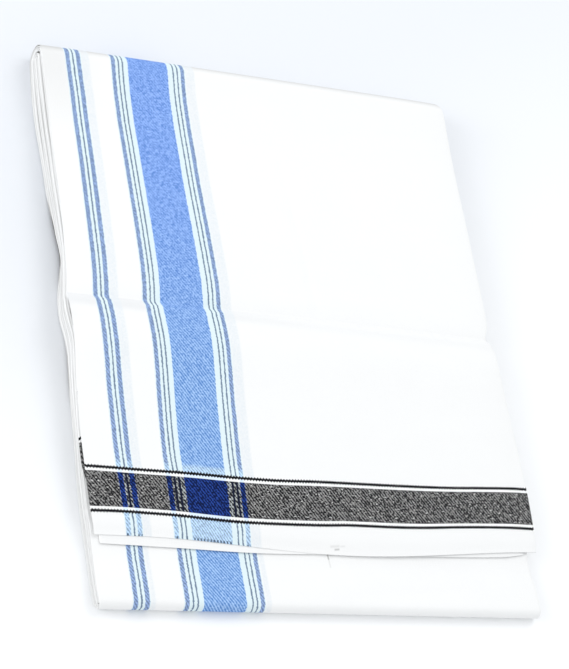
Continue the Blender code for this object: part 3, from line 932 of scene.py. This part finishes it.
stations = flat_run(CUT_END_Y, FAR_FOLD_Y, TOP_LENGTH, TOP_SPACING)
on_top = len(stations)
stations += round_fold(FAR_FOLD, TOP_LENGTH)
stations += flat_run(FAR_FOLD_Y, FAR_FOLD_Y - TUCK, FIRST_LENGTH, TOP_SPACING * 2)
stations = measured(stations, CUT_END_Y)
top_stop = stations[on_top - 1].along


def top_shape(share, ply, station, y, z):
    """Bow the cut end, press it flatter and let the left edge gape at the crease."""
    if station.along <= top_stop:
        depth = level(y, ALL_LENGTHS) - z
        y = bowed(share, y)
        middle = math.exp(-((share - CUT_END_FLAT_SHARE) / CUT_END_FLAT_REACH) ** 2)
        flatter = CUT_END_PRESS + (CUT_END_FLATTEST - CUT_END_PRESS) * middle
        z = pressed_down(y, depth, station.along - CUT_END_Y, flatter)
        z += GAPE * gaping(y) * math.exp(-share * PACK_WIDTH / GAPE_REACH)
    return y, z, (0.0, 0.0)


sheet = bmesh.new()
sheet.verts.layers.float.new("from_cut")
lay_cloth(sheet, stations, turned_columns(TOP_SPACING), top_edge, top_shape, top_threads)
top_cotton = bordered_cotton("top_cotton", True, outermost=True, marks=TOP_MARKS)
top_cloth = finished_cloth("top_cloth", sheet, top_cotton)
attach(top_cloth, "root")
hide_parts("top_stretch")
run_of(stations)

# ----------------------------------------------------------------------
# Near cloth.  The same ply of bordered cotton where it comes out from underneath, turns round
# the near fold and runs up under its own cut end.
SIXTH_LENGTH = Length(6, 5)
NEAR_STOP_Y = -0.0750
UNDER_CUT_END_RUN = 0.030  # edges of the buried plies meet the top's over this
NEAR_SPACING = 0.0021
NEAR_RADIUS = NEAR_FOLD_HEIGHT / 2
NEAR_FOLD_Y = -PACK_LENGTH / 2 + NEAR_RADIUS
NEAR_FOLD_STEPS = 12
NEAR_FOLD = Fold(NEAR_FOLD_Y, NEAR_RADIUS, LENGTHS_IN_ROLL, -math.pi / 2, NEAR_FOLD_STEPS)
NEAR_START_ALONG = 0.70  # well past the woven band
NEAR_SHOWING_THROUGH = ((-0.1278, -0.1250), (-0.0515, -0.0480))
NEAR_WANDER_OUTER = 0.0027
NEAR_WANDER_WIDE = 0.0047
OUTER_TO_WIDE = (-0.130, -0.085)
NEAR_WAVE_HEIGHT = 0.00015
NEAR_WAVE_SEED = 5.1
BARE_FROM = (NEAR_FOLD_Y - 0.004, NEAR_FOLD_Y + 0.010)
BARE_TO = (CUT_END_Y - 0.001, CUT_END_Y + 0.010)
# Painted shade along the short crease in the near stretch
NEAR_CREASE_SHADE_MARKS = [Mark(*row) for row in (
    (-0.0018, 0.775, -0.0014, 0.7702, 0.001, 0.75), (-0.0014, 0.7702, -0.001, 0.7648, 0.001, 0.2),
)]
NEAR_CREASES = [Crease(*row) for row in (
    (-0.14, -0.176, -0.02, -0.183, 0.005, 0.0002), (0.02, -0.19, 0.11, -0.184, 0.0045, 0.00022),
    (0.004, -0.15, 0.007, -0.172, 0.0011, 0.0003), (0.12, -0.15, 0.158, -0.17, 0.0045, 0.0002),
)]


def buried_edge(side, y):
    """Stray of the long edges of what lies under the top stretch."""
    bare = smooth_read(BARE_ROWS, side, y)
    buried = smooth_step(BARE_ROWS[-1].y, BARE_ROWS[-1].y + UNDER_CUT_END_RUN, y)
    return bare + (top_edge(side, y) - bare) * buried


def near_threads(x, along, y):
    """Where a point of the near stretch lies on the cloth."""
    wide = smooth_step(*OUTER_TO_WIDE, x)
    return x - NEAR_WANDER_OUTER - (NEAR_WANDER_WIDE - NEAR_WANDER_OUTER) * wide, along


stations = flat_run(NEAR_FOLD_Y + TUCK, NEAR_FOLD_Y, FIRST_LENGTH, NEAR_SPACING * 2)
stations += round_fold(NEAR_FOLD, FIRST_LENGTH)
stations += flat_run(NEAR_FOLD_Y, NEAR_STOP_Y, SIXTH_LENGTH, NEAR_SPACING)
stations = measured(stations, NEAR_START_ALONG)
sheet = bmesh.new()
lay_cloth(sheet, stations, turned_columns(NEAR_SPACING), buried_edge, threads=near_threads)
for vert in sheet.verts:
    x, y, z = vert.co
    if z > NEAR_RADIUS:
        wave = noise.noise(Vector((x, y, NEAR_WAVE_SEED)) / WAVE_LENGTH) * NEAR_WAVE_HEIGHT
        vert.co.z += (wave + crease_relief(NEAR_CREASES, x, y)) * between(BARE_FROM, BARE_TO, y)
near_cotton = bordered_cotton("near_cotton", False, shown=NEAR_SHOWING_THROUGH, marks=NEAR_CREASE_SHADE_MARKS)
near_cloth = finished_cloth("near_cloth", sheet, near_cotton)
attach(near_cloth, "root")
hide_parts("near_stretch")
run_of(stations)

# ----------------------------------------------------------------------
# Underside cloth.  The same ply of bordered cotton where the whole pack lies on it, flat from
# one tucked fold to the other.  Its left edge lies drawn in, further in two places where the pack stands
# clear.
UNDERSIDE_SPACING = 0.0040
UNDERSIDE_START_ALONG = 0.30
UNDERSIDE_DRAW = 0.0026  # its left edge lies in, further where the pack lifts
LIFTED_DRAW = 0.0030
DRAWN_RUN = 0.030  # to nothing over this, next to the two tucked folds
DRAWN_FROM = (NEAR_FOLD_Y + TUCK, NEAR_FOLD_Y + TUCK + DRAWN_RUN)
DRAWN_TO = (FAR_FOLD_Y - TUCK - DRAWN_RUN, FAR_FOLD_Y - TUCK)
LIFTED_FROM = (0.012, 0.040)
LIFTED_TO = (0.060, 0.095)
ALSO_LIFTED_FROM = (-0.075, -0.040)
ALSO_LIFTED_TO = (-0.030, -0.010)
ALSO_LIFTED_SHARE = 0.5


def lifted(y):
    """1 where the pack's left edge stands a little clear of the table."""
    again = between(ALSO_LIFTED_FROM, ALSO_LIFTED_TO, y)
    return between(LIFTED_FROM, LIFTED_TO, y) + again * ALSO_LIFTED_SHARE


def underside_shape(share, ply, station, y, z):
    """Draw the left edge in, away from the two ends."""
    inside = between(DRAWN_FROM, DRAWN_TO, y)
    return y, z, (inside * (UNDERSIDE_DRAW + LIFTED_DRAW * lifted(y)), 0.0)


stations = flat_run(FAR_FOLD_Y - TUCK, NEAR_FOLD_Y + TUCK, FIRST_LENGTH, UNDERSIDE_SPACING)
stations = measured(stations, UNDERSIDE_START_ALONG)
sheet = bmesh.new()
lay_cloth(sheet, stations, turned_columns(UNDERSIDE_SPACING), buried_edge, underside_shape)
underside_cloth = finished_cloth("underside_cloth", sheet, bordered_cotton("underside_cotton", False))
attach(underside_cloth, "root")
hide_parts("underside_stretch")
run_of(stations)

# ----------------------------------------------------------------------
# Second ply.  The three plies of plain white cotton folded back and forth under the top one.
# The edge of the first of them shows as a white lip below the cut end.
LOWER_PLIES = (1, 2, 3)  # the outermost one is ply 0
RETURN_CLEARED = 1.05  # the first of them starts this many returns in from the right edge
AFTER_RETURN = EDGE_RETURN * RETURN_CLEARED / PACK_WIDTH
SECOND_STOP_Y = -0.0620
SECOND_DRAWS = (0.0007, 0.0005)  # of its left and right edges
SECOND_LEFT_INSET = 0.0034  # more, at the cut end
SECOND_SPACING = 0.0030
LOWER_END_PRESS = 0.55  # how much flatter they lie at their cut ends
LOWER_PLY_DRAW = 0.0014  # how much shorter each ply under it is cut
# Where the first of them is cut, from left to right (y here is the place across)
CutRow = namedtuple("CutRow", "y cut")
SECOND_CUT = [CutRow(*row) for row in (
    (-0.159, -0.1588), (-0.11, -0.16), (-0.053, -0.1616), (0.0, -0.1608), (0.05, -0.1602),
    (0.1, -0.1594), (0.135, -0.158), (0.15, -0.156), (0.16, -0.1545),
)]
SECOND_START_Y = SECOND_CUT[0].cut
PLAIN_STREAK = 0.0012  # the plain cotton's yarns are thicker and thinner along the cloth
PLAIN_STRETCH = 30.0
PLAIN_RANGE = (0.2, 0.8)
PLAIN_TONES = (0.975, 1.0)
GROOVE_SHADE_GREY = (0.36, 0.35, 0.33)  # painted shade: deeper inside the layers the cloth is painted greyer
GROOVE_SHARE = 0.70
GROOVE_REACH = (0.0006, 0.0022)  # in from the pack's edge
# Painted shade, near black, deepest inside the layers
DEEP_SHADE_GREY = (0.06, 0.06, 0.06)
DEEP_SHARE = 0.85
DEEP_REACH = (0.0035, 0.0080)


def ply_columns(plies, shares, first_share=0.0):
    """Columns across plies that are folded back and forth, from the first one's free edge."""
    columns = []
    for k, ply in enumerate(plies):
        forwards = ply % 2 == 0
        across = shares if forwards else shares[::-1]
        if not k:
            across = [s for s in across if (s >= first_share if forwards else s <= 1 - first_share)]
        columns += [Column(share, ply, 0, 0.0) for share in across]
        if k < len(plies) - 1:
            side = 1 if forwards else -1
            columns += [Column(1.0 if forwards else 0.0, ply, side, math.pi * step / EDGE_STEPS)
                        for step in range(1, EDGE_STEPS)]
    return columns


def plain_cotton(name, painted_groove_shade=False):
    """White cotton without a border, uneven in its yarns, with painted shade inside its grooves."""
    material, tree = new_material(name)
    across, along, spot = cotton_threads(tree)
    mottle = yarn_noise(tree, spot, (1.0, 1.0), MOTTLE_SIZE, MOTTLE_DETAIL)
    streak = yarn_noise(tree, spot, (PLAIN_STRETCH, 1.0), PLAIN_STREAK)
    shade = ((mottle + streak) * 0.5).rise(*PLAIN_RANGE)
    colour = shade.blend(*toned(WHITE, PLAIN_TONES))
    if painted_groove_shade:
        # Painted shade: greyer, then near black, the further a point lies in from the pack's edge
        tuck = tree.node("ShaderNodeAttribute", {"attribute_name": "tuck"}, {}, output="Fac")
        colour = (tuck.rise(*GROOVE_REACH) * GROOVE_SHARE).blend(colour, GROOVE_SHADE_GREY)
        colour = (tuck.rise(*DEEP_REACH) * DEEP_SHARE).blend(colour, DEEP_SHADE_GREY)
    finish_cotton(tree, colour, (across, along, spot))
    return material


stations = measured(flat_run(SECOND_START_Y, SECOND_STOP_Y, TOP_LENGTH, SECOND_SPACING), 0.0)
columns = ply_columns(LOWER_PLIES, spaced(0.0, 1.0, SECOND_SPACING / PACK_WIDTH), AFTER_RETURN)


def second_shape(share, ply, station, y, z):
    """Cut each ply along its own line and press the cut end flatter."""
    near_cut = smooth_step(SECOND_STOP_Y, SECOND_START_Y, y)
    cut = smooth_read(SECOND_CUT, "cut", (share - 0.5) * PACK_WIDTH)
    depth = level(y, ALL_LENGTHS) - z
    y += (cut - SECOND_START_Y + LOWER_PLY_DRAW * (ply - 1)) * near_cut ** 3
    z = pressed_down(y, depth, station.along, LOWER_END_PRESS)
    return y, z, (SECOND_DRAWS[0] + SECOND_LEFT_INSET * near_cut, SECOND_DRAWS[1])


sheet = bmesh.new()
lay_cloth(sheet, stations, columns, top_edge, second_shape)
second_ply_cloth = finished_cloth("second_ply_cloth", sheet, plain_cotton("second_ply_cotton"))
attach(second_ply_cloth, "root")
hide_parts("second_ply")
run_of(stations)

# ----------------------------------------------------------------------
# Other end.  All four plies of the other cut end of the same cloth, folded in just below the
# top length.  Its dark woven band peeps out along the pack's left edge.
SEVENTH_LENGTH = Length(6, 7)
OTHER_END_STOP_Y = -0.0700
OTHER_END_OVERHANG = 0.0004
OTHER_END_DRAW = 0.0025
OTHER_END_FIRST_DRAW = 0.0004  # more, of its uppermost ply
OTHER_END_RIGHT_DRAW = 0.0012
OTHER_END_HIDDEN = (-0.122, -0.108)  # drawn in again between these
OTHER_END_BAND_SHIFT = -0.0185  # of its woven band from its cut
# Columns of the mesh across a buried ply, close together only at its edges
HIDDEN_SHARES = [0.0, 0.002, 0.005, 0.012, 0.03, 0.08, 0.25, 0.5, 0.75, 0.92, 0.97, 0.988, 0.996, 1.0]


def other_end_peep(y):
    """How far the other end's plies stand out past the top length on the left."""
    middle = (OTHER_END_CUT_Y + OTHER_END_STOP_Y) / 2
    half_run = (OTHER_END_STOP_Y - OTHER_END_CUT_Y) / 2
    return OTHER_END_OVERHANG * max(1 - ((y - middle) / half_run) ** 2, 0.0)


def other_end_shape(share, ply, station, y, z):
    """Draw the plies in, but for where their edges peep out."""
    drawn = OTHER_END_DRAW * (1 - smooth_step(*OTHER_END_HIDDEN, y))
    drawn += OTHER_END_FIRST_DRAW if ply <= 0.5 else -other_end_peep(y)
    return y, z, (drawn, OTHER_END_RIGHT_DRAW)


stations = flat_run(OTHER_END_CUT_Y, OTHER_END_STOP_Y, SEVENTH_LENGTH, SECOND_SPACING)
stations = measured(stations, OTHER_END_CUT_Y + OTHER_END_BAND_SHIFT)
all_plies = ply_columns(range(PLIES_ACROSS), HIDDEN_SHARES)
sheet = bmesh.new()
lay_cloth(sheet, stations, all_plies, top_edge, other_end_shape)
other_end_cloth = finished_cloth("other_end_cloth", sheet, bordered_cotton("other_end_cotton", True))
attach(other_end_cloth, "root")
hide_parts("other_end_ply")
run_of(stations)

# ----------------------------------------------------------------------
# Inner lengths.  The rest of the cloth, doubled and wound flat inside the pack.  Its folded
# and cut edges show as the layers on the pack's two long sides and at the ends of the folds.
INNER_SPACING = 0.0055
JOIN_GAP = 0.0003  # between this and the pieces that carry on the cloth
EDGE_WAVE_LENGTH = 0.045
EDGE_WAVE = 0.0006
PLY_WAVE = 0.0002
EDGE_WAVE_RATE = 1.7  # of a ply's own wave against the shared one
PLY_SEEDS = (3.0, 2.0, 4.0)  # of its noise: the first ply's, each next one's more, and its z
Strip = namedtuple("Strip", "draw seed")  # how far its edges draw in, and its noise's seed
OUTER_STRIP = Strip(0.0002, 1.5)
INNER_STRIP = Strip(0.0004, 7.5)
LEFT_DRAWS = (0.0055, 0.0009, 0.0000, 0.0001)  # of each ply: the first lies in the deep grooves
RIGHT_DRAWS = (0.0018, 0.0008, 0.0002, 0.0001)
LIFT = 0.0018  # of the lowest plies where the pack stands clear
LIFT_REACH = 0.008
LIFT_HEIGHT = 0.0055
CONTACT_HEIGHT = (0.0006, 0.0018)  # painted contact shade on the cloth's own lowest edge where it lifts
CONTACT_SHADE_TUCK = 0.0100
SLIT_SHADE_TUCK = 0.0062  # and painted shade inside the slit at the crease
SLIT_HEIGHT = 0.0186
SLIT_SHADE_REACH = (0.0003, 0.0012)
PLY_RISE = 0.0006
FLARE = 0.0014  # of the lowest plies towards the near fold
FLARE_HEIGHT = 0.0045
FLARE_TO = (-0.120, -0.080)
SLIT_DRAW = 0.0070  # of the first plies under the gaping edge,
SLIT_PLY = 2.5  # down to this one
SLIT_FROM = 0.9  # and only above this share of the pack's height
LEFT_SIDE_SHARE = 0.95  # of half the width: both painted shades lie further out than this
LEFT_SIDE_X = -HALF_WIDTH * LEFT_SIDE_SHARE
OUTER_START_ALONG = 0.1
INNER_START_ALONG = 1.0

THIRD_LENGTH, FOURTH_LENGTH = Length(2, 3), Length(4, 3)
FIFTH_LENGTH, SECOND_LENGTH = Length(4, 5), Length(2, 1)


def edge_insets(strip, ply, station):
    """How far a ply's two edges draw in at a station."""
    waves = station.along / EDGE_WAVE_LENGTH
    shared = noise.noise(Vector((waves, 0.0, strip.seed)))
    own_seed = PLY_SEEDS[0] + PLY_SEEDS[1] * round(ply)
    own = noise.noise(Vector((waves * EDGE_WAVE_RATE, own_seed, PLY_SEEDS[2])))
    lower = min(int(ply), PLIES_ACROSS - 2)
    draws = []
    for plies in (LEFT_DRAWS, RIGHT_DRAWS):
        own_draw = plies[lower] + (plies[lower + 1] - plies[lower]) * (ply - lower)
        draws.append(strip.draw + own_draw + shared * EDGE_WAVE)
    left = draws[0] + own * PLY_WAVE
    right = draws[1] - own * PLY_WAVE
    y, z = station.outer
    if strip is OUTER_STRIP and ply < SLIT_PLY and z > top_height(y) * SLIT_FROM:
        left += SLIT_DRAW * gaping(y)
    flare = FLARE * (1 - smooth_step(*FLARE_TO, y)) * max(1 - z / FLARE_HEIGHT, 0.0)
    return max(left, 0.0) - flare, max(right, 0.0)


def lift_edge(share, y, z):
    """Height of a low ply where the pack's left edge stands clear of the table."""
    reach = math.exp(-share * PACK_WIDTH / LIFT_REACH) * max(1 - z / LIFT_HEIGHT, 0.0)
    return z + LIFT * lifted(y) * reach


def outer_shape(share, ply, station, y, z):
    """A point of the strip that lies next to the outermost ply."""
    return y, lift_edge(share, y, z), edge_insets(OUTER_STRIP, ply, station)


def inner_shape(share, ply, station, y, z):
    """A point of the whole cloth inside, on either side of where it is doubled."""
    strip = OUTER_STRIP if station.along < turned else INNER_STRIP
    return y, lift_edge(share, y, z), edge_insets(strip, ply, station)


outside = flat_run(SECOND_STOP_Y + JOIN_GAP, FAR_FOLD_Y, TOP_LENGTH, INNER_SPACING)
outside += round_fold(FAR_FOLD, TOP_LENGTH)
outside += flat_run(FAR_FOLD_Y, NEAR_FOLD_Y, FIRST_LENGTH, INNER_SPACING)
outside += round_fold(NEAR_FOLD, FIRST_LENGTH)
outside += flat_run(NEAR_FOLD_Y, NEAR_STOP_Y, SIXTH_LENGTH, INNER_SPACING)
outside = measured(outside, OUTER_START_ALONG)

inside = flat_run(NEAR_STOP_Y + JOIN_GAP, FAR_FOLD_Y, SIXTH_LENGTH, INNER_SPACING)
inside += round_fold(FAR_FOLD, SIXTH_LENGTH)
inside += flat_run(FAR_FOLD_Y, NEAR_FOLD_Y, THIRD_LENGTH, INNER_SPACING)
doubled = len(inside)
inside += round_fold(NEAR_FOLD._replace(steps=EDGE_STEPS * 2), THIRD_LENGTH)
inside += flat_run(NEAR_FOLD_Y, FAR_FOLD_Y, FOURTH_LENGTH, INNER_SPACING)
inside += reversed(round_fold(FAR_FOLD, FIFTH_LENGTH))
inside += flat_run(FAR_FOLD_Y, NEAR_FOLD_Y, FIFTH_LENGTH, INNER_SPACING)
inside += reversed(round_fold(NEAR_FOLD, SECOND_LENGTH))
inside += flat_run(NEAR_FOLD_Y, FAR_FOLD_Y, SECOND_LENGTH, INNER_SPACING)
inside += reversed(round_fold(FAR_FOLD, SEVENTH_LENGTH))
inside += flat_run(FAR_FOLD_Y, OTHER_END_STOP_Y + JOIN_GAP, SEVENTH_LENGTH, INNER_SPACING)
inside = measured(inside, INNER_START_ALONG)
turned = inside[doubled].along

lower_plies = ply_columns(LOWER_PLIES, HIDDEN_SHARES, AFTER_RETURN)
sheet = bmesh.new()
tuck = sheet.verts.layers.float.new("tuck")
lay_cloth(sheet, outside, lower_plies, buried_edge, outer_shape)
lay_cloth(sheet, inside, all_plies, buried_edge, inner_shape)
# Painted shade: raise tuck along the lowest edge where the pack lifts and inside the slit at the crease,
# so that the groove shade paints them dark
for vert in sheet.verts:
    x, y, z = vert.co
    if x < LEFT_SIDE_X:
        lowest = 1 - smooth_step(*CONTACT_HEIGHT, z - LIFT * lifted(y))
        slit = gaping(y) * smooth_step(*SLIT_SHADE_REACH, vert[tuck])
        slit *= smooth_step(SLIT_HEIGHT, SLIT_HEIGHT + PLY_RISE, z)
        vert[tuck] = max(vert[tuck], CONTACT_SHADE_TUCK * lowest * lifted(y), SLIT_SHADE_TUCK * slit)

inner_lengths = finished_cloth("inner_lengths", sheet, plain_cotton("inner_cotton", True))
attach(inner_lengths, "root")
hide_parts("hidden_layers")
cloth_area = run_of(outside) * PACK_WIDTH * len(LOWER_PLIES) + run_of(inside) * CLOTH_WIDTH
cloth_area / CLOTH_WIDTH
